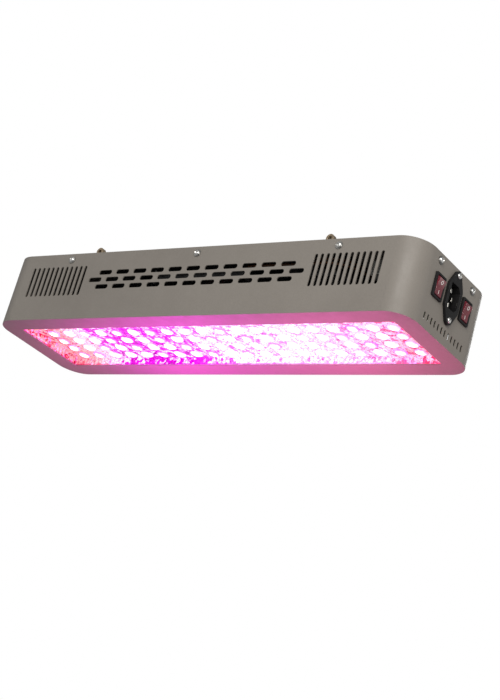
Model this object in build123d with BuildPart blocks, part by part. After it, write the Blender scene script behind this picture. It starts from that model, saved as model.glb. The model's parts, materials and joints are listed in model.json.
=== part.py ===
from build123d import *
import os
from math import acos, asin, cos, pi, radians, sin, tan

os.makedirs("parts", exist_ok=True)

# ---- driving sizes, mm ----
casing_length = 500.0
casing_width = 132.0
casing_height = 74.0
corner_radius = 25.0
sheet = 1.2
rim_width = 22.0
rim_corner = 3.0

# vents on the two long sides
slot_width = 3.6
slot_height = 33.0
slot_pitch = 6.5
slot_count = 12
slot_group_offset = 177.5
slot_middle_z = 43.0
dash_length = 17.0
dash_height = 5.0
dash_pitch_x = 22.5
dash_pitch_z = 7.9
dash_columns = 12
dash_middle_z = 43.0
end_slot_width = 3.2
end_slot_height = 7.0
end_slot_pitch = 6.2
end_slot_count = 12
end_slot_z = 11.0

# side screws
side_screw_x = 164.0
end_screw_y = 30.0
side_screw_z = 67.0
screw_radius = 2.0
screw_hole_gap = 0.25
screw_head_radius = 3.8
screw_head_height = 2.3
side_screw_radius = 1.5
side_screw_head_radius = 2.9
side_screw_head_height = 1.9
side_washer_radius = 3.8
side_washer_thickness = 0.8
side_screw_length = 8.0
sink_screw_length = 9.0

# cover flanges
flange_drop = 11.8
flange_gap = 0.1
side_flange_length = 430.0
end_flange_width = 16.0

# light engine
tray_sheet = 0.8
tray_edge_gap = 5.3
tray_panel_z = 8.0
board_bottom_z = 15.0
board_thickness = 1.6
board_length = 436.0
board_width = 84.0
led_pitch_x = 22.0
led_pitch_y = 17.0
led_columns = 20
led_rows = 5
lens_radius = 6.5
lens_depth = 8.5
lens_shoulder = 3.6
lens_hole_gap = 0.5
emitter_radius = 3.0
emitter_pocket_radius = 3.4
sink_length = 436.0
sink_edge = 6.0
shield_thickness = 0.5
shield_top = 40.0
shield_edge = 3.0
shield_notch_half = 26.0
shield_notch_z = 31.0
sink_base = 4.0
fin_height = 14.0
fin_thickness = 1.6
fin_pitch = 8.0
fin_count = 51
fin_span = 92.0
spacer_wall_gap = 8.2
spacer_pitch_x = 100.0
spacer_flats = 8.0
stud_height = 7.0

# fans
fan_x = 110.0
fan_size = 92.0
fan_depth = 25.0
fan_bore_radius = 44.0
fan_screw_pitch = 82.5
fan_hub_radius = 17.0
blade_count = 7
blade_tip_gap = 1.3
shaft_radius = 1.5
running_gap = 0.05
guard_wire = 0.8

# hanging eyes
eye_x = 142.0
eye_y = 52.0
eye_outer_radius = 4.4
eye_hole_radius = 2.1
eye_thickness = 4.6
eye_lift = 8.0
eye_shank_radius = 2.0
eye_collar_radius = 3.2
eye_washer_radius = 4.4
eye_washer_thickness = 0.8
eye_shank_length = 10.0
eye_nut_flats = 7.0
eye_nut_height = 3.2

# drivers
driver_length = 104.0
driver_width = 50.0
driver_height = 27.0
driver_ear = 8.0
driver_wall = 1.5
driver_y = 28.5

# end panel fittings
inlet_z = 44.6
inlet_flange_height = 52.5
inlet_ear_radius = 5.4
inlet_flange_width = 24.0
inlet_flange_thickness = 3.0
inlet_body_height = 27.0
inlet_body_width = 19.6
inlet_depth = 20.0
inlet_screw_pitch = 44.0
inlet_pin_pitch = 14.0
switch_y = 25.0
switch_z = 43.4
bezel_height = 23.4
bezel_width = 16.5
bezel_thickness = 2.0
switch_body_height = 21.4
switch_body_width = 13.6
switch_depth = 15.0
rocker_radius = 9.5
rocker_gap = 0.3
rocker_half_width = 5.3
rocker_set_back = 2.0
rocker_valley = 4.5
rocker_crest = 5.9
rocker_tilt = 10.0
rocker_axle_radius = 1.5
tab_width = 4.8
tab_thickness = 0.8
tab_length = 7.0

# wires
wire_radius = 1.2
fan_lead_radius = 0.8

# ---- sizes worked out from them ----
wall_top = casing_height - sheet
half_length = casing_length / 2
half_width = casing_width / 2
sink_bottom = board_bottom_z + board_thickness
sink_top = sink_bottom + sink_base
fan_bottom = wall_top - fan_depth
tray_flange = rim_width - sheet - tray_edge_gap
spacer_y = half_width - rim_width + tray_sheet + spacer_wall_gap
sink_width = 2 * (spacer_y + sink_edge)
stud_places = GridLocations(spacer_pitch_x, 2 * spacer_y, 5, 2)
eye_places = GridLocations(2 * eye_x, 2 * eye_y, 2, 2)
led_places = GridLocations(led_pitch_x, led_pitch_y, led_columns, led_rows)
board_screw_places = GridLocations(4 * led_pitch_x, 3 * led_pitch_y, 5, 2)
driver_ear_x = driver_length / 2 + driver_ear / 2
driver_hole_places = [
    (x, side * (driver_y + step))
    for side in (-1, 1)
    for x in (-driver_ear_x, driver_ear_x)
    for step in (-driver_width / 2 + 8, driver_width / 2 - 8)
]
fan_hole_places = [
    (centre + x * fan_screw_pitch / 2, y * fan_screw_pitch / 2)
    for centre in (-fan_x, fan_x)
    for x in (-1, 1)
    for y in (-1, 1)
]
terminal_x = 186.0
terminal_length = 22.0
terminal_width = 50.0
terminal_height = 15.0
terminal_hole_y = 21.0
earth_y = 35.5
earth_z = 22.0


def side_screw_planes(depth):
    """Planes looking outward at each side screw, set back by depth from the outer face."""
    planes = []
    for side in (-1, 1):
        for x in (-side_screw_x, 0, side_screw_x):
            spot = (x, side * (half_width - depth), side_screw_z)
            planes.append(Plane(origin=spot, x_dir=(1, 0, 0), z_dir=(0, side, 0)))
        for y in (-end_screw_y, end_screw_y):
            spot = (side * (half_length - depth), y, side_screw_z)
            planes.append(Plane(origin=spot, x_dir=(0, 1, 0), z_dir=(side, 0, 0)))
    return planes


def end_plane(depth):
    """Plane on the switch end looking outward, set back by depth; its x is Y and its y is Z."""
    return Plane(origin=(half_length - depth, 0, 0), x_dir=(0, 1, 0), z_dir=(1, 0, 0))


def bend_radius(points, index):
    """Largest comfortable radius at one corner of a wire path."""
    here = Vector(*points[index])
    before = Vector(*points[index - 1]) - here
    after = Vector(*points[index + 1]) - here
    turn = pi - acos(max(-1.0, min(1.0, before.normalized().dot(after.normalized()))))
    return 0.45 * min(before.length, after.length) / tan(turn / 2)


def wire_path(points):
    """Straight runs joined by tangent arcs."""
    with BuildLine() as route:
        if len(points) == 2:
            Line(points[0], points[1])
        else:
            radii = [bend_radius(points, i) for i in range(1, len(points) - 1)]
            FilletPolyline(*points, radius=radii)
    return route.line


def save(part, name):
    part.label = name
    export_step(part, "parts/" + name + ".step")


# ---- casing: wrapped wall with a turned-in rim, weld studs on the rim ----
with BuildPart() as casing:
    with BuildSketch(Plane.XY):
        RectangleRounded(casing_length, casing_width, corner_radius)
    extrude(amount=wall_top)
    with BuildSketch(Plane.XY.offset(sheet)):
        RectangleRounded(casing_length - 2 * sheet, casing_width - 2 * sheet, corner_radius - sheet)
    extrude(amount=wall_top, mode=Mode.SUBTRACT)
    with BuildSketch(Plane.XY):
        RectangleRounded(casing_length - 2 * rim_width, casing_width - 2 * rim_width, rim_corner)
    extrude(amount=sheet, mode=Mode.SUBTRACT)
    # vents cut through the front and the back together
    with BuildSketch(Plane.XZ):
        for centre in (-slot_group_offset, slot_group_offset):
            with Locations((centre, slot_middle_z)):
                with GridLocations(slot_pitch, 1, slot_count, 1):
                    SlotOverall(slot_height, slot_width, rotation=90)
        for row in (-1, 0, 1):
            columns = dash_columns - (1 if row else 0)
            with Locations((0, dash_middle_z + row * dash_pitch_z)):
                with GridLocations(dash_pitch_x, 1, columns, 1):
                    SlotOverall(dash_length, dash_height)
    extrude(amount=casing_width, both=True, mode=Mode.SUBTRACT)
    # small vents low on the switch end
    with BuildSketch(end_plane(2 * sheet)):
        with Locations((0, end_slot_z)):
            with GridLocations(end_slot_pitch, 1, end_slot_count, 1):
                SlotOverall(end_slot_height, end_slot_width, rotation=90)
    extrude(amount=4 * sheet, mode=Mode.SUBTRACT)
    # openings for the inlet and the two switches
    with BuildSketch(end_plane(2 * sheet)):
        with Locations((0, inlet_z)):
            Rectangle(inlet_body_width + 0.4, inlet_body_height + 0.4)
        with Locations((0, inlet_z - inlet_screw_pitch / 2), (0, inlet_z + inlet_screw_pitch / 2)):
            Circle(1.7)
        with Locations((-switch_y, switch_z), (switch_y, switch_z)):
            Rectangle(switch_body_width + 0.2, switch_body_height + 0.2)
    extrude(amount=4 * sheet, mode=Mode.SUBTRACT)
    for plane in side_screw_planes(2 * sheet):
        with BuildSketch(plane):
            Circle(side_screw_radius + screw_hole_gap)
        extrude(amount=4 * sheet, mode=Mode.SUBTRACT)
    # weld studs for the tray and the heat sink spacers
    with BuildSketch(Plane.XY.offset(sheet)):
        with stud_places:
            Circle(screw_radius)
    extrude(amount=stud_height)
    # earth stud on the inner face of the switch end
    with BuildSketch(end_plane(sheet)):
        with Locations((earth_y, earth_z)):
            Circle(screw_radius)
    extrude(amount=-9)
save(casing.part, "casing")

# ---- top cover ----
with BuildPart() as top_cover:
    with BuildSketch(Plane.XY.offset(wall_top)):
        RectangleRounded(casing_length, casing_width, corner_radius)
    extrude(amount=sheet)
    flange_middle = wall_top - flange_drop / 2
    flange_inset = sheet + flange_gap + sheet / 2
    side_flange_y = half_width - flange_inset
    end_flange_x = half_length - flange_inset
    with Locations((0, side_flange_y, flange_middle), (0, -side_flange_y, flange_middle)):
        Box(side_flange_length, sheet, flange_drop)
    for end_x in (-end_flange_x, end_flange_x):
        for end_y in (-end_screw_y, end_screw_y):
            with Locations((end_x, end_y, flange_middle)):
                Box(sheet, end_flange_width, flange_drop)
    with BuildSketch(Plane.XY.offset(wall_top)):
        with Locations((-fan_x, 0), (fan_x, 0)):
            Circle(fan_bore_radius - 0.5)
        with Locations(fan_hole_places):
            Circle(screw_radius + screw_hole_gap)
        with eye_places:
            Circle(eye_shank_radius + 0.15)
        with Locations(driver_hole_places):
            Circle(1.65)
        with Locations((terminal_x, -terminal_hole_y), (terminal_x, terminal_hole_y)):
            Circle(1.65)
    extrude(amount=sheet, mode=Mode.SUBTRACT)
    for plane in side_screw_planes(4 * sheet):
        with BuildSketch(plane):
            Circle(side_screw_radius + running_gap)
        extrude(amount=3 * sheet, mode=Mode.SUBTRACT)
save(top_cover.part, "top_cover")

# ---- side screws and washers ----
with BuildPart() as side_washers:
    for plane in side_screw_planes(0):
        with BuildSketch(plane):
            Circle(side_washer_radius)
            Circle(side_screw_radius + screw_hole_gap, mode=Mode.SUBTRACT)
        extrude(amount=side_washer_thickness)
save(side_washers.part, "side_washers")

with BuildPart() as side_screws:
    for plane in side_screw_planes(-side_washer_thickness):
        with BuildSketch(plane):
            Circle(side_screw_head_radius)
        extrude(amount=side_screw_head_height)
        with BuildSketch(plane):
            Circle(side_screw_radius)
        extrude(amount=-side_screw_length)
        with BuildSketch(plane.offset(side_screw_head_height)):
            Rectangle(3.4, 0.8)
            Rectangle(0.8, 3.4)
        extrude(amount=-1.2, mode=Mode.SUBTRACT)
save(side_screws.part, "side_screws")

# ---- reflector tray ----
tray_hole_length = casing_length - 2 * rim_width
tray_hole_width = casing_width - 2 * rim_width
with BuildPart() as reflector_tray:
    with BuildSketch(Plane.XY.offset(sheet)):
        RectangleRounded(tray_hole_length + 2 * tray_flange, tray_hole_width + 2 * tray_flange, 12)
    extrude(amount=tray_sheet)
    with BuildSketch(Plane.XY.offset(sheet)):
        RectangleRounded(tray_hole_length + 2 * tray_sheet, tray_hole_width + 2 * tray_sheet, rim_corner)
    extrude(amount=tray_panel_z + tray_sheet - sheet)
    with BuildSketch(Plane.XY.offset(sheet)):
        RectangleRounded(tray_hole_length, tray_hole_width, rim_corner - tray_sheet)
    extrude(amount=tray_panel_z - sheet, mode=Mode.SUBTRACT)
    with BuildSketch(Plane.XY.offset(tray_panel_z)):
        with led_places:
            Circle(lens_radius + lens_hole_gap)
    extrude(amount=tray_sheet, mode=Mode.SUBTRACT)
    with BuildSketch(Plane.XY.offset(sheet)):
        with stud_places:
            Circle(screw_radius + screw_hole_gap)
    extrude(amount=tray_sheet, mode=Mode.SUBTRACT)
save(reflector_tray.part, "reflector_tray")

# ---- light engine ----
with BuildPart() as led_board:
    with BuildSketch(Plane.XY.offset(board_bottom_z)):
        RectangleRounded(board_length, board_width, 4)
        with board_screw_places:
            Circle(1.65, mode=Mode.SUBTRACT)
    extrude(amount=board_thickness)
save(led_board.part, "led_board")

dome_height = lens_depth - lens_shoulder
dome_radius = (lens_radius ** 2 + dome_height ** 2) / (2 * dome_height)
dome_centre_z = board_bottom_z - lens_depth + dome_radius
half_angle = asin(lens_radius / dome_radius) / 2
dome_middle = (dome_radius * sin(half_angle), dome_centre_z - dome_radius * cos(half_angle))
with BuildPart() as one_lens:
    with BuildSketch(Plane.XZ):
        with BuildLine():
            a = Line((0, board_bottom_z), (lens_radius, board_bottom_z))
            b = Line(a @ 1, (lens_radius, board_bottom_z - lens_shoulder))
            c = ThreePointArc(b @ 1, dome_middle, (0, board_bottom_z - lens_depth))
            Line(c @ 1, a @ 0)
        make_face()
    revolve(axis=Axis.Z)
    with BuildSketch(Plane.XY.offset(board_bottom_z)):
        Circle(emitter_pocket_radius)
    extrude(amount=-2.4, mode=Mode.SUBTRACT)

with BuildPart() as led_lenses:
    with led_places:
        add(one_lens.part)
save(led_lenses.part, "led_lenses")

with BuildPart() as led_emitters:
    with BuildSketch(Plane.XY.offset(board_bottom_z)):
        with led_places:
            Circle(emitter_radius)
    extrude(amount=-1.0)
    with BuildSketch(Plane.XY.offset(board_bottom_z - 1.0)):
        with led_places:
            Circle(1.9)
    extrude(amount=-0.9, taper=25)
save(led_emitters.part, "led_emitters")

with BuildPart() as board_screws:
    with BuildSketch(Plane.XY.offset(board_bottom_z)):
        with board_screw_places:
            Circle(2.75)
    extrude(amount=-1.8)
    with BuildSketch(Plane.XY.offset(board_bottom_z)):
        with board_screw_places:
            Circle(1.5)
    extrude(amount=5.0)
    with BuildSketch(Plane.XY.offset(board_bottom_z - 1.8)):
        with board_screw_places:
            Rectangle(3.0, 0.7)
            Rectangle(0.7, 3.0)
    extrude(amount=0.9, mode=Mode.SUBTRACT)
save(board_screws.part, "board_screws")

output_wire_places = [(x, y) for y in (-driver_y, driver_y) for x in (-4.0, 4.0)]
with BuildPart() as heat_sink:
    with BuildSketch(Plane.XY.offset(sink_bottom)):
        RectangleRounded(sink_length, sink_width, 3)
    extrude(amount=sink_base)
    with BuildSketch(Plane.XY.offset(sink_top)):
        with GridLocations(fin_pitch, 1, fin_count, 1):
            Rectangle(fin_thickness, fin_span)
    extrude(amount=fin_height)
    with BuildSketch(Plane.XY.offset(sink_bottom)):
        with stud_places:
            Circle(screw_radius + screw_hole_gap)
        with Locations(output_wire_places):
            Circle(wire_radius + 0.6)
    extrude(amount=sink_base, mode=Mode.SUBTRACT)
    with BuildSketch(Plane.XY.offset(sink_bottom)):
        with board_screw_places:
            Circle(1.55)
    extrude(amount=3.8, mode=Mode.SUBTRACT)
save(heat_sink.part, "heat_sink")

# insulating sheet stuck to the end of the heat sink, between it and the mains fittings
with BuildPart() as mains_shield:
    with BuildSketch(Plane.XY.offset(board_bottom_z)):
        with Locations((sink_length / 2 + shield_thickness / 2, 0)):
            Rectangle(shield_thickness, sink_width - 2 * shield_edge)
    extrude(amount=shield_top - board_bottom_z)
    # notch for the mains and earth wires
    with Locations((sink_length / 2 + shield_thickness / 2, 0, shield_top)):
        Box(
            4 * shield_thickness, 2 * shield_notch_half, 2 * (shield_top - shield_notch_z),
            mode=Mode.SUBTRACT,
        )
save(mains_shield.part, "mains_shield")

with BuildPart() as spacers:
    with BuildSketch(Plane.XY.offset(sheet + tray_sheet)):
        with stud_places:
            RegularPolygon(spacer_flats / 2, 6, major_radius=False)
    extrude(amount=sink_bottom - sheet - tray_sheet)
    with BuildSketch(Plane.XY.offset(sheet + tray_sheet)):
        with stud_places:
            Circle(screw_radius + running_gap)
    extrude(amount=sink_bottom, mode=Mode.SUBTRACT)
save(spacers.part, "spacers")

with BuildPart() as sink_screws:
    with BuildSketch(Plane.XY.offset(sink_top)):
        with stud_places:
            Circle(screw_head_radius)
    extrude(amount=screw_head_height)
    with BuildSketch(Plane.XY.offset(sink_top)):
        with stud_places:
            Circle(screw_radius)
    extrude(amount=-sink_screw_length)
    with BuildSketch(Plane.XY.offset(sink_top + screw_head_height)):
        with stud_places:
            Rectangle(4.2, 0.9)
            Rectangle(0.9, 4.2)
    extrude(amount=-1.4, mode=Mode.SUBTRACT)
save(sink_screws.part, "sink_screws")

# ---- fans ----
hub_floor = fan_bottom + 3.0
impeller_bottom = hub_floor + 1.0
impeller_top = wall_top - 2.0


def build_fan_frame(centre):
    with BuildPart() as frame:
        with BuildSketch(Plane.XY.offset(fan_bottom)):
            with Locations((centre, 0)):
                RectangleRounded(fan_size, fan_size, 4)
                Circle(fan_bore_radius, mode=Mode.SUBTRACT)
        extrude(amount=fan_depth)
        # waist between the two corner plates
        with BuildSketch(Plane.XY.offset(fan_bottom + 4)):
            with Locations((centre, 0)):
                RectangleRounded(fan_size + 2, fan_size + 2, 4)
                Circle(fan_bore_radius + 1.2, mode=Mode.SUBTRACT)
        extrude(amount=fan_depth - 8, mode=Mode.SUBTRACT)
        # motor floor, struts and bearing tube
        with BuildSketch(Plane.XY.offset(fan_bottom)):
            with Locations((centre, 0)):
                Circle(fan_hub_radius)
                Rectangle(2 * fan_bore_radius + 1.0, 4)
                Rectangle(4, 2 * fan_bore_radius + 1.0)
        extrude(amount=hub_floor - fan_bottom)
        with BuildSketch(Plane.XY.offset(hub_floor)):
            with Locations((centre, 0)):
                Circle(4.0)
        extrude(amount=9)
        with BuildSketch(Plane.XY.offset(fan_bottom + 1)):
            with Locations((centre, 0)):
                Circle(shaft_radius + running_gap)
        extrude(amount=fan_depth, mode=Mode.SUBTRACT)
        with BuildSketch(Plane.XY.offset(fan_bottom)):
            with Locations((centre, 0)):
                with GridLocations(fan_screw_pitch, fan_screw_pitch, 2, 2):
                    Circle(screw_radius + running_gap)
        extrude(amount=fan_depth, mode=Mode.SUBTRACT)
    return frame.part


def build_impeller(centre):
    tip_radius = fan_bore_radius - blade_tip_gap
    middle = (impeller_bottom + impeller_top) / 2
    with BuildPart() as blades:
        with Locations((0, 0, middle)):
            with PolarLocations(tip_radius / 2, blade_count):
                Box(tip_radius, 22, 1.8, rotation=(38, 0, 0))
    with BuildPart() as wheel:
        with BuildSketch(Plane.XY.offset(impeller_bottom + 1)):
            Circle(tip_radius)
        extrude(amount=impeller_top - impeller_bottom - 2)
        add(blades.part, mode=Mode.INTERSECT)
        with BuildSketch(Plane.XY.offset(impeller_bottom)):
            Circle(fan_hub_radius)
        extrude(amount=impeller_top - impeller_bottom)
        with BuildSketch(Plane.XY.offset(impeller_bottom)):
            Circle(fan_hub_radius - 1.6)
        extrude(amount=impeller_top - impeller_bottom - 2, mode=Mode.SUBTRACT)
        with BuildSketch(Plane.XY.offset(fan_bottom + 1.3)):
            Circle(shaft_radius)
        extrude(amount=impeller_top - fan_bottom - 1.8)
    return wheel.part.translate((centre, 0, 0))


save(build_fan_frame(-fan_x), "fan_frame_left")
save(build_fan_frame(fan_x), "fan_frame_right")
save(build_impeller(-fan_x), "impeller_left")
save(build_impeller(fan_x), "impeller_right")


def build_guard(centre):
    with BuildPart() as guard:
        for radius in (12.0, 20.0, 28.0, 36.0, 43.5):
            with Locations((centre, 0, casing_height + 2.4 * guard_wire)):
                Torus(radius, guard_wire)
        reach = fan_screw_pitch / 2 * 2 ** 0.5 - 3.0
        for angle in (45, 135, 225, 315):
            spoke_middle = (12.0 + reach) / 2 - 0.6
            x = centre + spoke_middle * cos(radians(angle))
            y = spoke_middle * sin(radians(angle))
            with Locations(Location((x, y, casing_height + guard_wire), (0, 0, angle))):
                Box(reach - 12.0 + 1.2, 2 * guard_wire, 2 * guard_wire)
        with BuildSketch(Plane.XY.offset(casing_height)):
            with Locations((centre, 0)):
                with GridLocations(fan_screw_pitch, fan_screw_pitch, 2, 2):
                    Circle(4.2)
                    Circle(screw_radius + screw_hole_gap, mode=Mode.SUBTRACT)
        extrude(amount=2 * guard_wire)
    return guard.part


save(build_guard(-fan_x), "fan_guard_left")
save(build_guard(fan_x), "fan_guard_right")

with BuildPart() as fan_screws:
    with BuildSketch(Plane.XY.offset(casing_height + 2 * guard_wire)):
        with Locations(fan_hole_places):
            Circle(screw_head_radius)
    extrude(amount=screw_head_height)
    with BuildSketch(Plane.XY.offset(casing_height + 2 * guard_wire)):
        with Locations(fan_hole_places):
            Circle(screw_radius)
    extrude(amount=-14)
    with BuildSketch(Plane.XY.offset(casing_height + 2 * guard_wire + screw_head_height)):
        with Locations(fan_hole_places):
            Rectangle(4.2, 0.9)
            Rectangle(0.9, 4.2)
    extrude(amount=-1.4, mode=Mode.SUBTRACT)
save(fan_screws.part, "fan_screws")

# ---- hanging eyes ----
with BuildPart() as eye_bolts:
    with BuildSketch(Plane.XY.offset(casing_height + eye_washer_thickness)):
        with eye_places:
            Circle(eye_collar_radius)
    extrude(amount=eye_lift - eye_washer_thickness - eye_hole_radius - 0.6)
    with BuildSketch(Plane.XY.offset(casing_height + eye_washer_thickness)):
        with eye_places:
            Circle(eye_shank_radius)
    extrude(amount=-eye_shank_length)
    for y in (-eye_y, eye_y):
        with BuildSketch(Plane.XZ.offset(-y - eye_thickness / 2)):
            with Locations((-eye_x, casing_height + eye_lift), (eye_x, casing_height + eye_lift)):
                Circle(eye_outer_radius)
            with Locations((0, casing_height + eye_washer_thickness - casing_width / 2)):
                Rectangle(casing_length, casing_width, mode=Mode.SUBTRACT)
        extrude(amount=eye_thickness)
        with BuildSketch(Plane.XZ.offset(-y - eye_thickness)):
            with Locations((-eye_x, casing_height + eye_lift), (eye_x, casing_height + eye_lift)):
                Circle(eye_hole_radius)
        extrude(amount=2 * eye_thickness, mode=Mode.SUBTRACT)
save(eye_bolts.part, "eye_bolts")

with BuildPart() as eye_washers:
    with BuildSketch(Plane.XY.offset(casing_height)):
        with eye_places:
            Circle(eye_washer_radius)
            Circle(eye_shank_radius + 0.15, mode=Mode.SUBTRACT)
    extrude(amount=eye_washer_thickness)
save(eye_washers.part, "eye_washers")

with BuildPart() as eye_nuts:
    with BuildSketch(Plane.XY.offset(wall_top)):
        with eye_places:
            RegularPolygon(eye_nut_flats / 2, 6, major_radius=False)
            Circle(eye_shank_radius + running_gap, mode=Mode.SUBTRACT)
    extrude(amount=-eye_nut_height)
save(eye_nuts.part, "eye_nuts")

# ---- the two drivers ----
driver_bottom = wall_top - driver_height
lid_top = driver_bottom + driver_wall
driver_places = [(0, -driver_y), (0, driver_y)]
with BuildPart() as driver_cases:
    with BuildSketch(Plane.XY.offset(lid_top)):
        with Locations(driver_places):
            Rectangle(driver_length, driver_width)
    extrude(amount=driver_height - driver_wall)
    with BuildSketch(Plane.XY.offset(lid_top)):
        with Locations(driver_places):
            Rectangle(driver_length - 2 * driver_wall, driver_width - 2 * driver_wall)
    extrude(amount=driver_height - 2 * driver_wall, mode=Mode.SUBTRACT)
    with BuildSketch(Plane.XY.offset(wall_top - driver_wall)):
        with Locations(driver_places):
            Rectangle(driver_length + 2 * driver_ear, driver_width)
    extrude(amount=driver_wall)
    with BuildSketch(Plane.XY.offset(wall_top - driver_wall)):
        with Locations(driver_hole_places):
            Circle(1.55)
    extrude(amount=driver_wall, mode=Mode.SUBTRACT)
save(driver_cases.part, "driver_cases")

lid_screw_places = [
    (x, y + step)
    for y in (-driver_y, driver_y)
    for x in (-driver_length / 2 + 7, driver_length / 2 - 7)
    for step in (-driver_width / 2 + 7, driver_width / 2 - 7)
]
board_z = lid_top + 4.0
with BuildPart() as driver_lids:
    with BuildSketch(Plane.XY.offset(driver_bottom)):
        with Locations(driver_places):
            Rectangle(driver_length, driver_width)
    extrude(amount=driver_wall)
    with BuildSketch(Plane.XY.offset(lid_top)):
        with Locations(lid_screw_places):
            Circle(3.0)
    extrude(amount=board_z - lid_top)
    with BuildSketch(Plane.XY.offset(driver_bottom)):
        with Locations(lid_screw_places):
            Circle(1.3)
    extrude(amount=10, mode=Mode.SUBTRACT)
save(driver_lids.part, "driver_lids")

with BuildPart() as driver_boards:
    with BuildSketch(Plane.XY.offset(board_z)):
        with Locations(driver_places):
            Rectangle(driver_length - 6, driver_width - 6)
        with Locations(lid_screw_places):
            Circle(1.3, mode=Mode.SUBTRACT)
    extrude(amount=1.6)
save(driver_boards.part, "driver_boards")

with BuildPart() as driver_board_screws:
    with BuildSketch(Plane.XY.offset(board_z + 1.6)):
        with Locations(lid_screw_places):
            Circle(2.3)
    extrude(amount=1.6)
    with BuildSketch(Plane.XY.offset(board_z + 1.6)):
        with Locations(lid_screw_places):
            Circle(1.25)
    extrude(amount=-6)
save(driver_board_screws.part, "driver_board_screws")

with BuildPart() as driver_transformers:
    with BuildSketch(Plane.XY.offset(board_z + 1.6)):
        with Locations(driver_places):
            Rectangle(26, 24)
    extrude(amount=14)
save(driver_transformers.part, "driver_transformers")

with BuildPart() as driver_capacitors:
    with BuildSketch(Plane.XY.offset(board_z + 1.6)):
        with Locations((-28, -driver_y), (28, -driver_y), (-28, driver_y), (28, driver_y)):
            Circle(6)
    extrude(amount=15)
save(driver_capacitors.part, "driver_capacitors")

small_screw_places = driver_hole_places + [(terminal_x, -terminal_hole_y), (terminal_x, terminal_hole_y)]
with BuildPart() as cover_screws:
    with BuildSketch(Plane.XY.offset(casing_height)):
        with Locations(small_screw_places):
            Circle(2.8)
    extrude(amount=1.8)
    with BuildSketch(Plane.XY.offset(casing_height)):
        with Locations(small_screw_places):
            Circle(1.5)
    extrude(amount=-6)
    with BuildSketch(Plane.XY.offset(casing_height + 1.8)):
        with Locations(small_screw_places):
            Rectangle(3.2, 0.7)
            Rectangle(0.7, 3.2)
    extrude(amount=-1.0, mode=Mode.SUBTRACT)
save(cover_screws.part, "cover_screws")

# ---- terminal block under the cover ----
terminal_bottom = wall_top - terminal_height
terminal_ways = 5
terminal_pitch = 7.0
with BuildPart() as terminal_block:
    with BuildSketch(Plane.XY.offset(terminal_bottom)):
        with Locations((terminal_x, 0)):
            Rectangle(terminal_length, terminal_width)
    extrude(amount=terminal_height)
    # wells for the clamp screws, open downward, and wire entries on both long sides
    with BuildSketch(Plane.XY.offset(terminal_bottom)):
        with Locations((terminal_x - 5, 0), (terminal_x + 5, 0)):
            with GridLocations(1, terminal_pitch, 1, terminal_ways):
                Circle(2.2)
    extrude(amount=6, mode=Mode.SUBTRACT)
    with BuildSketch(Plane.XY.offset(wall_top)):
        with Locations((terminal_x, -terminal_hole_y), (terminal_x, terminal_hole_y)):
            Circle(1.55)
    extrude(amount=-8, mode=Mode.SUBTRACT)
save(terminal_block.part, "terminal_block")

with BuildPart() as terminal_screws:
    with BuildSketch(Plane.XY.offset(terminal_bottom + 2.5)):
        with Locations((terminal_x - 5, 0), (terminal_x + 5, 0)):
            with GridLocations(1, terminal_pitch, 1, terminal_ways):
                Circle(2.15)
    extrude(amount=3.5)
    with BuildSketch(Plane.XY.offset(terminal_bottom + 2.5)):
        with Locations((terminal_x - 5, 0), (terminal_x + 5, 0)):
            with GridLocations(1, terminal_pitch, 1, terminal_ways):
                Rectangle(3.4, 0.7)
    extrude(amount=0.9, mode=Mode.SUBTRACT)
save(terminal_screws.part, "terminal_screws")

# ---- mains inlet ----
inlet_back = half_length - inlet_depth
with BuildPart() as inlet_body:
    with BuildSketch(end_plane(0)):
        ear_z = inlet_flange_height / 2 - inlet_ear_radius
        with Locations((0, inlet_z - ear_z), (0, inlet_z + ear_z)):
            Circle(inlet_ear_radius)
        with Locations((0, inlet_z)):
            RectangleRounded(inlet_flange_width, inlet_body_height - 1, 3)
        make_hull()
        with Locations((0, inlet_z - inlet_screw_pitch / 2), (0, inlet_z + inlet_screw_pitch / 2)):
            Circle(1.65, mode=Mode.SUBTRACT)
    extrude(amount=inlet_flange_thickness)
    with BuildSketch(end_plane(0)):
        with Locations((0, inlet_z)):
            Rectangle(inlet_body_width, inlet_body_height)
    extrude(amount=-inlet_depth)
    mouth_half_width = 8.2
    mouth_half_height = 12.3
    mouth_cut = 4.4
    with BuildSketch(end_plane(-inlet_flange_thickness)):
        with BuildLine():
            Polyline(
                (-mouth_half_width, inlet_z - mouth_half_height),
                (mouth_half_width - mouth_cut, inlet_z - mouth_half_height),
                (mouth_half_width, inlet_z - mouth_half_height + mouth_cut),
                (mouth_half_width, inlet_z + mouth_half_height - mouth_cut),
                (mouth_half_width - mouth_cut, inlet_z + mouth_half_height),
                (-mouth_half_width, inlet_z + mouth_half_height),
                close=True,
            )
        make_face()
    extrude(amount=-(inlet_flange_thickness + inlet_depth - 4), mode=Mode.SUBTRACT)
    with BuildSketch(end_plane(inlet_depth)):
        with Locations((-1, inlet_z - inlet_pin_pitch / 2), (-1, inlet_z + inlet_pin_pitch / 2), (3, inlet_z)):
            Rectangle(2, 4)
    extrude(amount=4, mode=Mode.SUBTRACT)
save(inlet_body.part, "inlet_body")

with BuildPart() as inlet_pins:
    with BuildSketch(end_plane(inlet_depth)):
        with Locations((-1, inlet_z - inlet_pin_pitch / 2), (-1, inlet_z + inlet_pin_pitch / 2), (3, inlet_z)):
            Rectangle(2, 4)
    extrude(amount=inlet_depth - 1)
    with BuildSketch(end_plane(inlet_depth)):
        with Locations((-1, inlet_z - inlet_pin_pitch / 2), (-1, inlet_z + inlet_pin_pitch / 2), (3, inlet_z)):
            Rectangle(tab_thickness, tab_width)
    extrude(amount=-tab_length)
save(inlet_pins.part, "inlet_pins")

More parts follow.
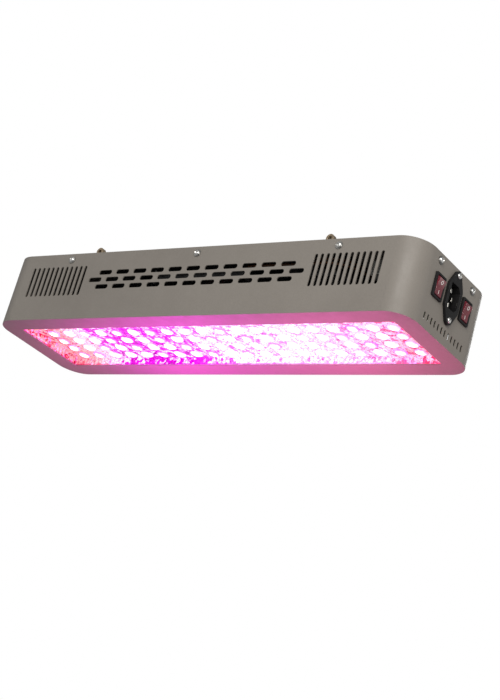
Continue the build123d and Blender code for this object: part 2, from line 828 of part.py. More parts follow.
with BuildPart() as inlet_screws:
    with BuildSketch(end_plane(-inlet_flange_thickness)):
        with Locations((0, inlet_z - inlet_screw_pitch / 2), (0, inlet_z + inlet_screw_pitch / 2)):
            Circle(2.8)
    extrude(amount=1.8)
    with BuildSketch(end_plane(-inlet_flange_thickness)):
        with Locations((0, inlet_z - inlet_screw_pitch / 2), (0, inlet_z + inlet_screw_pitch / 2)):
            Circle(1.5)
    extrude(amount=-9)
    with BuildSketch(end_plane(-inlet_flange_thickness - 1.8)):
        with Locations((0, inlet_z - inlet_screw_pitch / 2), (0, inlet_z + inlet_screw_pitch / 2)):
            Rectangle(3.2, 0.7)
            Rectangle(0.7, 3.2)
    extrude(amount=-1.0, mode=Mode.SUBTRACT)
save(inlet_screws.part, "inlet_screws")

with BuildPart() as inlet_nuts:
    with BuildSketch(end_plane(sheet)):
        with Locations((0, inlet_z - inlet_screw_pitch / 2), (0, inlet_z + inlet_screw_pitch / 2)):
            RegularPolygon(2.75, 6, major_radius=False)
            Circle(1.5 + running_gap, mode=Mode.SUBTRACT)
    extrude(amount=-2.4)
save(inlet_nuts.part, "inlet_nuts")

# ---- rocker switches ----
pivot_x = half_length - rocker_set_back
cavity_depth = 5.3


def build_switch_body(y):
    with BuildPart() as body:
        with BuildSketch(end_plane(0)):
            with Locations((y, switch_z)):
                RectangleRounded(bezel_width, bezel_height, 1.2)
        extrude(amount=bezel_thickness)
        with BuildSketch(end_plane(0)):
            with Locations((y, switch_z)):
                Rectangle(switch_body_width, switch_body_height)
        extrude(amount=-switch_depth)
        with BuildSketch(end_plane(rocker_set_back + cavity_depth)):
            with Locations((y, switch_z)):
                Rectangle(2 * (rocker_half_width + rocker_gap), 2 * (rocker_radius + rocker_gap))
        extrude(amount=rocker_set_back + cavity_depth + bezel_thickness, mode=Mode.SUBTRACT)
        with BuildSketch(Plane.XZ.offset(-y - switch_body_width / 2)):
            with Locations((pivot_x, switch_z)):
                Circle(rocker_axle_radius + running_gap)
        extrude(amount=switch_body_width, mode=Mode.SUBTRACT)
    return body.part


def build_rocker(y):
    with BuildPart() as rocker:
        with BuildSketch(Plane.XZ.offset(-rocker_half_width)):
            Circle(rocker_radius)
            with BuildLine():
                Polyline(
                    (-3.0, -10), (rocker_crest, -10), (rocker_valley, 0), (rocker_crest, 10), (-3.0, 10),
                    close=True,
                )
            make_face(mode=Mode.INTERSECT)
        extrude(amount=2 * rocker_half_width)
        with BuildSketch(Plane.XZ.offset(-rocker_half_width - 1.2)):
            Circle(rocker_axle_radius)
        extrude(amount=2 * (rocker_half_width + 1.2))
    return rocker.part.rotate(Axis.Y, rocker_tilt).translate((pivot_x, y, switch_z))


save(build_switch_body(-switch_y), "switch_body_left")
save(build_switch_body(switch_y), "switch_body_right")
save(build_rocker(-switch_y), "rocker_left")
save(build_rocker(switch_y), "rocker_right")

with BuildPart() as switch_tabs:
    with BuildSketch(end_plane(switch_depth)):
        for y in (-switch_y, switch_y):
            with Locations((y, switch_z - 6), (y, switch_z), (y, switch_z + 6)):
                Rectangle(tab_width, tab_thickness)
    extrude(amount=-tab_length)
save(switch_tabs.part, "switch_tabs")

# ---- earth nut and ring terminal ----
with BuildPart() as earth_ring:
    with BuildSketch(end_plane(sheet)):
        with Locations((earth_y, earth_z)):
            Circle(4.0)
        with Locations((earth_y, earth_z + 6)):
            Rectangle(3.0, 8.0)
        with Locations((earth_y, earth_z)):
            Circle(screw_radius + running_gap, mode=Mode.SUBTRACT)
    extrude(amount=-0.8)
save(earth_ring.part, "earth_ring")

with BuildPart() as earth_nut:
    with BuildSketch(end_plane(sheet + 0.8)):
        with Locations((earth_y, earth_z)):
            RegularPolygon(3.5, 6, major_radius=False)
            Circle(screw_radius + running_gap, mode=Mode.SUBTRACT)
    extrude(amount=-3.2)
save(earth_nut.part, "earth_nut")

# ---- wires ----


def build_wires(paths, radius):
    routes = [wire_path(points) for points in paths]
    with BuildPart() as bundle:
        for route in routes:
            with BuildSketch(Plane(origin=route @ 0, z_dir=route % 0)):
                Circle(radius)
            sweep(path=route)
    return bundle.part


tab_end_x = half_length - inlet_depth - tab_length
switch_tab_end_x = half_length - switch_depth - tab_length
terminal_face_x = terminal_x + terminal_length / 2
terminal_back_x = terminal_x - terminal_length / 2
entry_z = terminal_bottom + 9.0
pin_low = inlet_z - inlet_pin_pitch / 2
pin_high = inlet_z + inlet_pin_pitch / 2

mains_paths = [
    [(tab_end_x, -1, pin_high), (tab_end_x - 7, -1, pin_high), (terminal_face_x + 6, 0, entry_z),
     (terminal_face_x, 0, entry_z)],
    [(tab_end_x, -1, pin_low), (tab_end_x - 6, -1, pin_low), (tab_end_x - 12, 7, entry_z - 4),
     (terminal_face_x + 4, 7, entry_z), (terminal_face_x, 7, entry_z)],
]
save(build_wires(mains_paths, wire_radius), "mains_wires")

switched_paths = [
    [(switch_tab_end_x, -switch_y, switch_z + 6), (switch_tab_end_x - 8, -switch_y, switch_z + 6),
     (terminal_face_x + 8, -14, entry_z), (terminal_face_x, -14, entry_z)],
    [(switch_tab_end_x, switch_y, switch_z + 6), (switch_tab_end_x - 8, switch_y, switch_z + 6),
     (terminal_face_x + 8, 14, entry_z), (terminal_face_x, 14, entry_z)],
]
save(build_wires(switched_paths, wire_radius), "switched_wires")

earth_paths = [
    [(tab_end_x, 3, inlet_z), (tab_end_x - 5, 3, inlet_z), (tab_end_x - 5, 16, 32),
     (half_length - 14, earth_y, earth_z + 8.5), (half_length - sheet - 0.8, earth_y, earth_z + 8.5)],
]
save(build_wires(earth_paths, wire_radius), "earth_wire")

driver_face_x = driver_length / 2
input_paths = []
for side in (-1, 1):
    for step, way in ((0.0, 14.0), (4.0, 7.0)):
        input_paths.append([
            (terminal_back_x, side * way, entry_z - step),
            (terminal_back_x - 6, side * way, entry_z - step),
            (fan_x + fan_size / 2 + 4, side * (driver_y + 21.5), entry_z - step - 4),
            (driver_face_x, side * (driver_y + 21.5), entry_z - step - 4),
        ])
save(build_wires(input_paths, wire_radius), "input_wires")

output_paths = [
    [(x, y, driver_bottom), (x, y, sink_bottom)] for x, y in output_wire_places
]
save(build_wires(output_paths, wire_radius), "output_wires")

fan_lead_paths = []
for side in (-1, 1):
    for y in (20.0, 23.0):
        fan_face_x = fan_x - fan_size / 2
        fan_lead_paths.append([
            (side * fan_face_x, y, fan_bottom + 2), (side * driver_face_x, y, fan_bottom + 2),
        ])
save(build_wires(fan_lead_paths, fan_lead_radius), "fan_leads")
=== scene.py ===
import json
import math

import bmesh
import bpy
from mathutils import Euler, Matrix, Vector


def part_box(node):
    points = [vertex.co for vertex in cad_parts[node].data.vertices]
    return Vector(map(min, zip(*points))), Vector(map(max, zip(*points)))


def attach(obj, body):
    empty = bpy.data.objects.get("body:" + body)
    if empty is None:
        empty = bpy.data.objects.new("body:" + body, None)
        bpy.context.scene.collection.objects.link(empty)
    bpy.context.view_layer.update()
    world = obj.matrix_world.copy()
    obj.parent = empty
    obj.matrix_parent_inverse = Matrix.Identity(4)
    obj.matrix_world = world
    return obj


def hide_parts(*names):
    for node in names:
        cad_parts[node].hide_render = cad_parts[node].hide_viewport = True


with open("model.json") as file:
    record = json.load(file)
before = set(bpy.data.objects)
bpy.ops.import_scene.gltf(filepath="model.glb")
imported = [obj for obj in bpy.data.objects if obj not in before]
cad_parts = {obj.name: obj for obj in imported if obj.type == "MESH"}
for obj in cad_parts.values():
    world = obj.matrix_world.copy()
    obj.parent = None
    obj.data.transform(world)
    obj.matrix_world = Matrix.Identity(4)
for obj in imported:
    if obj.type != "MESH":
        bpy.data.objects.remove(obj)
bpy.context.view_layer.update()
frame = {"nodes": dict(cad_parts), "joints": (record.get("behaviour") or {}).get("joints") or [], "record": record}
MM = 0.001
WHITE, BLACK = (1.0, 1.0, 1.0), (0.0, 0.0, 0.0)
LIGHT_LOW, LIGHT_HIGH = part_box("led_board")


# ---------------------------------------------------------------- finishes

class Finish:
    """A node material with a few short ways to add the usual nodes."""

    def __init__(self, name):
        self.material = bpy.data.materials.new(name)
        self.material.use_nodes = True
        self.tree = self.material.node_tree
        self.shader = self.tree.nodes["Principled BSDF"]
        self.place = self.node("ShaderNodeTexCoord").outputs["Object"]

    def node(self, kind, **settings):
        made = self.tree.nodes.new(kind)
        for key, value in settings.items():
            setattr(made, key, value)
        return made

    def join(self, output, socket):
        self.tree.links.new(output, socket)

    def set(self, **values):
        for key, value in values.items():
            self.shader.inputs[key.replace("_", " ")].default_value = value

    def stretched(self, scale):
        mapping = self.node("ShaderNodeMapping")
        mapping.inputs["Scale"].default_value = scale
        self.join(self.place, mapping.inputs["Vector"])
        return mapping.outputs["Vector"]

    def grain(self, scale, detail=3.0, roughness=0.5, stretch=None):
        noise = self.node("ShaderNodeTexNoise")
        noise.inputs["Scale"].default_value = scale
        noise.inputs["Detail"].default_value = detail
        noise.inputs["Roughness"].default_value = roughness
        place = self.stretched(stretch) if stretch else self.place
        self.join(place, noise.inputs["Vector"])
        return noise.outputs["Fac"]

    def cells(self, scale, feature="F1", output="Distance"):
        cell = self.node("ShaderNodeTexVoronoi", feature=feature)
        cell.inputs["Scale"].default_value = scale
        self.join(self.place, cell.inputs["Vector"])
        return cell.outputs[output]

    def ramp(self, fac, stops):
        ramp = self.node("ShaderNodeValToRGB")
        while len(ramp.color_ramp.elements) < len(stops):
            ramp.color_ramp.elements.new(0.5)
        for element, (position, colour) in zip(ramp.color_ramp.elements, stops):
            element.position = position
            element.color = (*colour, 1.0)
        self.join(fac, ramp.inputs["Fac"])
        return ramp.outputs["Color"]

    def spread(self, fac, low, high, from_low=0.3, from_high=0.7):
        reach = self.node("ShaderNodeMapRange")
        reach.inputs["From Min"].default_value = from_low
        reach.inputs["From Max"].default_value = from_high
        reach.inputs["To Min"].default_value = low
        reach.inputs["To Max"].default_value = high
        self.join(fac, reach.inputs["Value"])
        return reach.outputs["Result"]

    def mix(self, fac, first, second, blend="MIX"):
        mixed = self.node("ShaderNodeMix", data_type="RGBA", blend_type=blend)
        sockets = mixed.inputs[0], mixed.inputs[6], mixed.inputs[7]
        for value, socket in zip((fac, first, second), sockets):
            if isinstance(value, (int, float)):
                socket.default_value = value
            elif isinstance(value, tuple):
                socket.default_value = (*value, 1.0)
            else:
                self.join(value, socket)
        return mixed.outputs[2]

    def below(self, axis, limit):
        """1 where the place along one axis is nearer the origin than the limit, else 0."""
        apart = self.node("ShaderNodeSeparateXYZ")
        self.join(self.place, apart.inputs["Vector"])
        size = self.node("ShaderNodeMath", operation="ABSOLUTE")
        self.join(apart.outputs[axis], size.inputs[0])
        nearer = self.node("ShaderNodeMath", operation="LESS_THAN")
        nearer.inputs[1].default_value = limit
        self.join(size.outputs[0], nearer.inputs[0])
        return nearer.outputs[0]

    def inside(self, reach):
        """1 within a box about the origin, 0 outside it."""
        x, y, z = (self.below(axis, limit) for axis, limit in zip("XYZ", reach))
        return self.times(self.times(x, y), z)

    def sum_up(self, operation, first, second):
        result = self.node("ShaderNodeMath", operation=operation)
        self.join(first, result.inputs[0])
        self.join(second, result.inputs[1])
        return result.outputs[0]

    def times(self, first, second):
        return self.sum_up("MULTIPLY", first, second)

    def plus(self, first, second):
        return self.sum_up("ADD", first, second)

    def bump(self, height, strength, depth):
        bump = self.node("ShaderNodeBump")
        bump.inputs["Strength"].default_value = strength
        bump.inputs["Distance"].default_value = depth
        self.join(height, bump.inputs["Height"])
        self.join(bump.outputs["Normal"], self.shader.inputs["Normal"])


def powder_coat(name, low, high):
    """Warm grey powder coat: cloudy tone, fine speckle and a low orange peel."""
    f = Finish(name)
    clouds = f.ramp(f.grain(9.0, 4.0, 0.6), [(0.3, low), (0.7, high)])
    speckle = f.ramp(f.grain(2600.0, 2.0), [(0.35, (0.82, 0.82, 0.82)), (0.65, WHITE)])
    f.join(f.mix(1.0, clouds, speckle, "MULTIPLY"), f.shader.inputs["Base Color"])
    f.join(f.spread(f.grain(60.0, 5.0, 0.65), 0.42, 0.6), f.shader.inputs["Roughness"])
    f.bump(f.grain(1400.0, 2.0), 0.18, 0.0003)
    f.set(Specular_IOR_Level=0.45)
    return f.material


def plated(name, colour, darker, rough=(0.18, 0.38), stretch=(1, 1, 1), scale=500.0):
    """Plated or bare metal with fine scratches and a little uneven tone."""
    f = Finish(name)
    tone = f.ramp(f.grain(110.0, 4.0, 0.6), [(0.3, darker), (0.65, colour)])
    f.join(tone, f.shader.inputs["Base Color"])
    f.join(f.spread(f.grain(scale, 4.0, 0.6, stretch), *rough), f.shader.inputs["Roughness"])
    f.bump(f.grain(scale * 2, 3.0, 0.6, stretch), 0.12, 0.0002)
    f.set(Metallic=1.0)
    return f.material


def moulded(name, colour, lighter, rough=(0.32, 0.5), shine=0.5):
    """Moulded plastic with a spark-eroded grain."""
    f = Finish(name)
    tone = f.ramp(f.grain(70.0, 4.0, 0.6), [(0.3, colour), (0.75, lighter)])
    f.join(tone, f.shader.inputs["Base Color"])
    f.join(f.spread(f.grain(220.0, 4.0, 0.6), *rough), f.shader.inputs["Roughness"])
    f.bump(f.grain(1900.0, 2.0), 0.12, 0.0003)
    f.set(Specular_IOR_Level=shine)
    return f.material


def rocker_red(name):
    """Glossy dark red plastic."""
    f = Finish(name)
    tone = f.ramp(f.grain(150.0, 3.0), [(0.3, (0.105, 0.009, 0.018)), (0.7, (0.17, 0.02, 0.032))])
    f.join(tone, f.shader.inputs["Base Color"])
    f.join(f.spread(f.grain(400.0, 3.0), 0.16, 0.3), f.shader.inputs["Roughness"])
    f.bump(f.grain(700.0, 2.0), 0.06, 0.0003)
    f.set(Coat_Weight=0.5, Coat_Roughness=0.12)
    return f.material


def mark_white(name):
    """Matt white print, a little worn."""
    f = Finish(name)
    tone = f.ramp(f.grain(900.0, 3.0), [(0.3, (0.6, 0.58, 0.56)), (0.7, (0.85, 0.83, 0.8))])
    f.join(tone, f.shader.inputs["Base Color"])
    f.join(f.spread(f.grain(300.0), 0.4, 0.55), f.shader.inputs["Roughness"])
    return f.material


def along_lamp(f):
    """Share of the way along the lamp, 0 at the left end and 1 at the switch end."""
    apart = f.node("ShaderNodeSeparateXYZ")
    f.join(f.place, apart.inputs["Vector"])
    return f.spread(apart.outputs["X"], 0.0, 1.0, LIGHT_LOW.x, LIGHT_HIGH.x)


# Colours of the painted glow that stands for the diodes' light on the reflector, deep and pale. Each row: share of
# the way along the lamp, then the colour there.
PAINTED_GLOW_DEEP_ALONG = [
    (0.0, (0.60, 0.01, 0.07)), (0.07, (0.85, 0.14, 0.26)), (0.14, (0.62, 0.01, 0.56)),
    (0.34, (0.60, 0.002, 0.56)), (0.5, (0.70, 0.10, 0.68)), (0.68, (0.80, 0.26, 0.62)),
    (0.86, (0.82, 0.22, 0.46)), (1.0, (0.85, 0.04, 0.14)),
]
PAINTED_GLOW_PALE_ALONG = [
    (0.0, (0.85, 0.30, 0.28)), (0.08, (0.90, 0.52, 0.50)), (0.15, (1.0, 0.84, 1.0)),
    (0.3, (1.0, 0.80, 1.0)), (0.5, (1.0, 0.93, 1.0)), (0.75, (1.0, 0.80, 0.92)),
    (0.9, (0.95, 0.58, 0.70)), (1.0, (0.90, 0.40, 0.45)),
]
# How readily a patch of the painted glow turns deep instead of pale, along the lamp.
PAINTED_GLOW_DEEP_SHARE = [(place, (share, share, share)) for place, share in (
    (0.0, 0.42), (0.10, 0.40), (0.15, 0.57), (0.36, 0.56),
    (0.48, 0.43), (0.7, 0.40), (0.85, 0.46), (1.0, 0.46),
)]
# Half length, half width and top of the space that the diodes light: the reflector's painted glow and the lenses'
# glow are shown only inside it.
TRAY_INNER = (228.4 * MM, 44.4 * MM, 8.5 * MM)
# Height below which the tray's painted glow turns to its darker deep colour.
TRAY_LIP = 2.6 * MM


def reflector_metal_with_painted_glow(name):
    """Bright hammered aluminium with painted glow: the light of the coloured diodes beside it is painted into its
    emission, and their colour into its base colour as a painted reflection.
    """
    f = Finish(name)
    f.join(f.spread(f.grain(160.0, 4.0), 0.14, 0.32), f.shader.inputs["Roughness"])
    f.bump(f.cells(210.0), 0.8, 0.0018)
    # Painted glow: the diodes' light on the reflector is painted as emission, in deep and pale patches whose
    # colours change along the lamp.
    along = along_lamp(f)
    deep, pale = f.ramp(along, PAINTED_GLOW_DEEP_ALONG), f.ramp(along, PAINTED_GLOW_PALE_ALONG)
    patches = f.mix(0.36, f.grain(44.0, 5.0, 0.8), f.cells(290.0, "F1", "Color"))
    share = f.spread(f.plus(patches, f.ramp(along, PAINTED_GLOW_DEEP_SHARE)), 0.0, 1.0, 0.96, 1.04)
    lit = f.mix(share, pale, deep)
    # Base colour: a random purple-grey tone, tinted with the deep glow colour where the patches turn deep, a
    # painted reflection of the diodes' light.
    tone = f.ramp(f.grain(40.0, 3.0), [(0.3, (0.34, 0.26, 0.34)), (0.7, (0.5, 0.4, 0.5))])
    tinted = f.mix(1.0, tone, f.mix(share, WHITE, deep), "MULTIPLY")
    f.join(tinted, f.shader.inputs["Base Color"])
    # Painted shade: the painted glow is darker along the edges of the hammer marks.
    painted_crease_shade = f.ramp(f.cells(260.0, "DISTANCE_TO_EDGE"),
                     [(0.015, (0.34, 0.06, 0.42)), (0.08, WHITE)])
    glow_with_crease_shade = f.mix(1.0, lit, painted_crease_shade, "MULTIPLY")
    # Painted glow on the tray's low lip, below TRAY_LIP: the deep colour, darker.
    painted_lip_glow = f.mix(1.0, deep, (0.7, 0.7, 0.7), "MULTIPLY")
    f.join(f.mix(f.below("Z", TRAY_LIP), glow_with_crease_shade, painted_lip_glow), f.shader.inputs["Emission Color"])
    # Strength of the painted glow, uneven at random, shown only inside the tray's inner box.
    level = f.spread(f.grain(38.0, 3.0, 0.6), 0.95, 1.35)
    f.join(f.times(level, f.inside(TRAY_INNER)), f.shader.inputs["Emission Strength"])
    f.set(Metallic=1.0)
    return f.material


def lit_lens(name):
    """Moulded lens over a lit diode: white hot in the middle, its own tint at the skirt."""
    f = Finish(name)
    tint = f.node("ShaderNodeAttribute", attribute_name="tint").outputs["Color"]
    heat = f.node("ShaderNodeAttribute", attribute_name="middle").outputs["Fac"]
    facet = f.cells(420.0, "F1", "Color")
    facet_level = f.ramp(facet, [(0.25, (0.5, 0.4, 0.55)), (0.6, WHITE)])
    glow = f.mix(f.ramp(heat, [(0.02, BLACK), (0.36, WHITE)]), tint, (1.0, 0.95, 1.0))
    f.join(f.mix(1.0, glow, facet_level, "MULTIPLY"), f.shader.inputs["Emission Color"])
    level = f.spread(heat, 0.9, 4.2, 0.0, 1.0)
    f.join(f.times(level, f.inside(TRAY_INNER)), f.shader.inputs["Emission Strength"])
    f.join(f.mix(0.2, tint, (0.9, 0.85, 0.9)), f.shader.inputs["Base Color"])
    f.join(f.spread(f.grain(500.0), 0.08, 0.2), f.shader.inputs["Roughness"])
    return f.material


FINISHES = {
    "casing": powder_coat("casing grey powder coat", (0.205, 0.187, 0.166), (0.232, 0.213, 0.190)),
    "steel": plated("bright zinc plate", (0.78, 0.78, 0.76), (0.55, 0.55, 0.54)),
    "washer": plated("washer zinc plate", (0.34, 0.34, 0.33), (0.2, 0.2, 0.195), (0.25, 0.4)),
    "chrome": plated("guard wire chrome", (0.72, 0.72, 0.72), (0.5, 0.5, 0.5), (0.1, 0.25)),
    "eye": plated("dull yellow zinc eye", (0.40, 0.32, 0.22), (0.2, 0.16, 0.12), (0.35, 0.55)),
    "sink": plated("black anodised aluminium", (0.035, 0.035, 0.038), (0.02, 0.02, 0.022),
                   (0.35, 0.55), (1, 12, 1), 300.0),
    "brass": plated("turned brass", (0.72, 0.55, 0.25), (0.55, 0.4, 0.17)),
    "nickel": plated("nickel plated pin", (0.86, 0.84, 0.78), (0.68, 0.66, 0.6), (0.1, 0.25)),
    "shield": moulded("dark fibre sheet", (0.02, 0.02, 0.021), (0.035, 0.035, 0.037), (0.6, 0.75)),
    "driver": moulded("black driver coat", (0.012, 0.012, 0.013), (0.022, 0.022, 0.024),
                      (0.4, 0.6)),
    "black": moulded("black moulded plastic", (0.006, 0.006, 0.0065), (0.012, 0.0115, 0.012),
                     (0.38, 0.52), shine=0.22),
    "fan": moulded("black fan plastic", (0.016, 0.016, 0.017), (0.034, 0.034, 0.036), (0.35, 0.55)),
    "block": moulded("white block nylon", (0.66, 0.65, 0.6), (0.8, 0.79, 0.74)),
    "mask": moulded("white board mask", (0.78, 0.76, 0.78), (0.88, 0.86, 0.88), (0.25, 0.4)),
    "circuit": moulded("green board mask", (0.03, 0.14, 0.06), (0.05, 0.22, 0.09), (0.25, 0.4)),
    "tape": moulded("yellow winding tape", (0.5, 0.42, 0.08), (0.65, 0.55, 0.14)),
    "sleeve": moulded("dark capacitor sleeve", (0.02, 0.02, 0.05), (0.05, 0.05, 0.09), (0.2, 0.3)),
    "brown": moulded("brown wire sleeve", (0.14, 0.055, 0.02), (0.2, 0.08, 0.03)),
    "green": moulded("green wire sleeve", (0.07, 0.28, 0.05), (0.12, 0.38, 0.09)),
    "red": moulded("red wire sleeve", (0.4, 0.015, 0.015), (0.5, 0.03, 0.03)),
    "rocker": rocker_red("tinted red rocker"),
    "mark": mark_white("white switch mark"),
    "reflector": reflector_metal_with_painted_glow("hammered reflector with painted glow"),
    "lens": lit_lens("lit lens"),
}
NODES_BY_FINISH = {
    "casing": "casing top_cover",
    "steel": "side_screws board_screws sink_screws fan_screws eye_nuts driver_board_screws "
             "cover_screws terminal_screws inlet_screws inlet_nuts earth_nut",
    "washer": "side_washers eye_washers",
    "reflector": "reflector_tray",
    "mask": "led_board led_emitters",
    "sink": "heat_sink",
    "shield": "mains_shield",
    "brass": "spacers",
    "fan": "fan_frame_left fan_frame_right impeller_left impeller_right",
    "chrome": "fan_guard_left fan_guard_right",
    "eye": "eye_bolts",
    "driver": "driver_cases driver_lids",
    "circuit": "driver_boards",
    "tape": "driver_transformers",
    "sleeve": "driver_capacitors",
    "block": "terminal_block",
    "black": "inlet_body switch_body_left switch_body_right",
    "nickel": "inlet_pins switch_tabs earth_ring",
    "rocker": "rocker_left rocker_right",
    "brown": "mains_wires switched_wires input_wires",
    "green": "earth_wire",
    "red": "output_wires fan_leads",
    "lens": "led_lenses",
}
NODE_FINISH = {node: finish for finish, nodes in NODES_BY_FINISH.items()
               for node in nodes.split()}
BODY_OF = {node: body for body, nodes in frame["record"]["behaviour"]["bodies"].items()
           for node in nodes}


def give_finish(obj, key):
    obj.data.materials.clear()
    obj.data.materials.append(FINISHES[key])


for name, obj in frame["nodes"].items():
    give_finish(obj, NODE_FINISH[name])


# ---------------------------------------------------------------- making pieces

SAME_POINT = 2e-6  # metres between corners that count as one
FLAT_WITHIN, CORNER_FROM = 0.6, 30.0  # degrees between two faces
FACE_AREA_WEIGHT = 100


def object_from(mesh, name):
    obj = bpy.data.objects.new(name, mesh)
    bpy.context.scene.collection.objects.link(obj)
    return obj


def object_of(form, name):
    """Turns a finished form into an object and frees the form."""
    mesh = bpy.data.meshes.new(name)
    form.to_mesh(mesh)
    form.free()
    return object_from(mesh, name)


def make_plain(obj):
    """Turns an object and its modifiers into one plain mesh."""
    depsgraph = bpy.context.evaluated_depsgraph_get()
    mesh = bpy.data.meshes.new_from_object(obj.evaluated_get(depsgraph))
    obj.modifiers.clear()
    obj.data = mesh


def settle(obj, angle=35.0):
    """Makes an object plain and shades it smooth but for its corners."""
    make_plain(obj)
    obj.data.polygons.foreach_set("use_smooth", [True] * len(obj.data.polygons))
    obj.data.set_sharp_from_angle(angle=math.radians(angle))


def even_normals(obj):
    """Lets the large flat faces rule the shading, so that eased edges don't bend it."""
    weigh = obj.modifiers.new("even", "WEIGHTED_NORMAL")
    weigh.weight = FACE_AREA_WEIGHT
    weigh.keep_sharp = True
    make_plain(obj)


def stand_for(obj, node, finish=None):
    """Makes obj the shown piece of a node: its body and its finish."""
    give_finish(obj, finish or NODE_FINISH[node])
    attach(obj, BODY_OF[node])
    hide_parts(node)


def eased_copy(node, edge):
    """The node's own shape with its loose triangles joined and its edges eased."""
    mesh = frame["nodes"][node].data.copy()
    form = bmesh.new()
    form.from_mesh(mesh)
    bmesh.ops.remove_doubles(form, verts=form.verts, dist=SAME_POINT)
    bmesh.ops.dissolve_limit(form, angle_limit=math.radians(FLAT_WITHIN), verts=form.verts,
                             edges=form.edges, delimit={"NORMAL"})
    form.to_mesh(mesh)
    form.free()
    obj = object_from(mesh, node + "_eased")
    if edge > 0:
        bevel = obj.modifiers.new("edge", "BEVEL")
        bevel.width = edge
        bevel.segments = 2
        bevel.limit_method = "ANGLE"
        bevel.angle_limit = math.radians(CORNER_FROM)
        bevel.use_clamp_overlap = True
    settle(obj)
    even_normals(obj)
    stand_for(obj, node)


# ---------------------------------------------------------------- camera, light, floor

CAMERA_PLACE = (1.0121, -1.1405, -0.5568)
CAMERA_RIGHT = (0.7935, 0.5518, 0.2566)
CAMERA_UP = (0.0076, -0.4306, 0.9025)
FOCAL_LENGTH, SENSOR_WIDTH = 86.0, 36.0
# Strength of the backdrop on the lamp, and as the camera sees it.
BACKDROP_LIGHT, BACKDROP_SEEN = 0.36, 1.0
# Each row: name, place, target, size, power, colour.
STUDIO_LIGHTS = (
    ("key_softbox", (1.5, -1.5, 0.35), (0.12, 0, 0.03), (1.0, 1.0), 27.0, (1.0, 0.96, 0.91)),
    ("fill_softbox", (-1.2, -1.6, 0.6), (-0.1, 0, 0.03), (1.2, 1.0), 3.0, (1.0, 0.96, 0.92)),
    ("back_softbox", (-0.6, 1.8, 0.9), (0, 0, 0.03), (1.4, 1.0), 20.0, (1.0, 0.98, 0.96)),
    ("corner_strip", (0.76, -1.42, 0.71), (0.24, -0.05, 0.04), (0.14, 0.9), 9.0, (1.0, 0.98, 0.95)),
    ("side_card", (0.75, 0.35, 0.0), (0.25, 0.05, 0.04), (0.3, 0.3), 0.3, (1.0, 1.0, 0.97)),
)
# The lamp's own light coming back up on its rim. Each row: place along the lamp, power, colour.
RETURN_GLOWS = (
    (-0.21, 0.075, (1.0, 0.14, 0.42)),
    (-0.10, 0.30, (1.0, 0.03, 0.86)),
    (-0.02, 0.21, (1.0, 0.06, 0.75)),
    (0.08, 0.19, (1.0, 0.12, 0.6)),
    (0.16, 0.20, (1.0, 0.12, 0.5)),
    (0.225, 0.07, (1.0, 0.16, 0.42)),
)
GLOW_Y, GLOW_Z, GLOW_SIZE = 0.022, -0.08, (0.08, 0.09)
FLOOR_HALF, FLOOR_Z, FLOOR_GLOW = 20.0, -1.1, 0.42


def make_camera():
    """Stands low in front of the switch end and looks up under the lamp."""
    lens = bpy.data.cameras.new("camera")
    lens.lens = FOCAL_LENGTH
    lens.sensor_width = SENSOR_WIDTH
    lens.clip_start = 0.05
    camera = bpy.data.objects.new("camera", lens)
    bpy.context.scene.collection.objects.link(camera)
    right = Vector(CAMERA_RIGHT)
    back = right.cross(Vector(CAMERA_UP)).normalized()
    up = back.cross(right).normalized()
    turn = Matrix((right, up, back)).transposed().to_4x4()
    camera.matrix_world = Matrix.Translation(CAMERA_PLACE) @ turn
    bpy.context.scene.camera = camera


def area_light(name, place, target, size, power, colour):
    light = bpy.data.lights.new(name, "AREA")
    light.shape = "RECTANGLE"
    light.size, light.size_y = size
    light.energy = power
    light.color = colour
    obj = bpy.data.objects.new(name, light)
    bpy.context.scene.collection.objects.link(obj)
    obj.location = place
    obj.rotation_euler = (Vector(target) - Vector(place)).to_track_quat("-Z", "Y").to_euler()
    obj.visible_camera = False


def make_studio():
    """A white backdrop, soft lights round the lamp and its own glow under the rim."""
    world = bpy.data.worlds.new("studio")
    bpy.context.scene.world = world
    world.use_nodes = True
    tree = world.node_tree
    backdrop = tree.nodes["Background"]
    backdrop.inputs["Color"].default_value = (1.0, 1.0, 1.0, 1.0)
    seen = tree.nodes.new("ShaderNodeLightPath")
    level = tree.nodes.new("ShaderNodeMapRange")
    level.inputs["To Min"].default_value = BACKDROP_LIGHT
    level.inputs["To Max"].default_value = BACKDROP_SEEN
    tree.links.new(seen.outputs["Is Camera Ray"], level.inputs["Value"])
    tree.links.new(level.outputs["Result"], backdrop.inputs["Strength"])
    for row in STUDIO_LIGHTS:
        area_light(*row)
    for i, (x, power, colour) in enumerate(RETURN_GLOWS):
        place, target = (x, GLOW_Y, GLOW_Z), (x, GLOW_Y, 0)
        area_light("return_glow_%d" % i, place, target, GLOW_SIZE, power, colour)
    bpy.context.scene.view_settings.view_transform = "Standard"


def make_floor():
    """A wide pale floor well below the lamp, which lends it no light."""
    form = bmesh.new()
    bmesh.ops.create_grid(form, x_segments=1, y_segments=1, size=FLOOR_HALF)
    floor = object_of(form, "floor")
    floor.data.transform(Matrix.Translation((0, 0, FLOOR_Z)))
    f = Finish("pale floor")
    tone = f.ramp(f.grain(1.5, 3.0), [(0.3, (0.9, 0.9, 0.9)), (0.7, (0.93, 0.93, 0.93))])
    f.join(tone, f.shader.inputs["Base Color"])
    f.set(Roughness=0.8, Emission_Color=(*WHITE, 1.0), Emission_Strength=FLOOR_GLOW)
    floor.data.materials.append(f.material)
    floor.visible_diffuse = False
    floor.visible_glossy = False


make_camera()
make_studio()
make_floor()


# ---------------------------------------------------------------- lenses

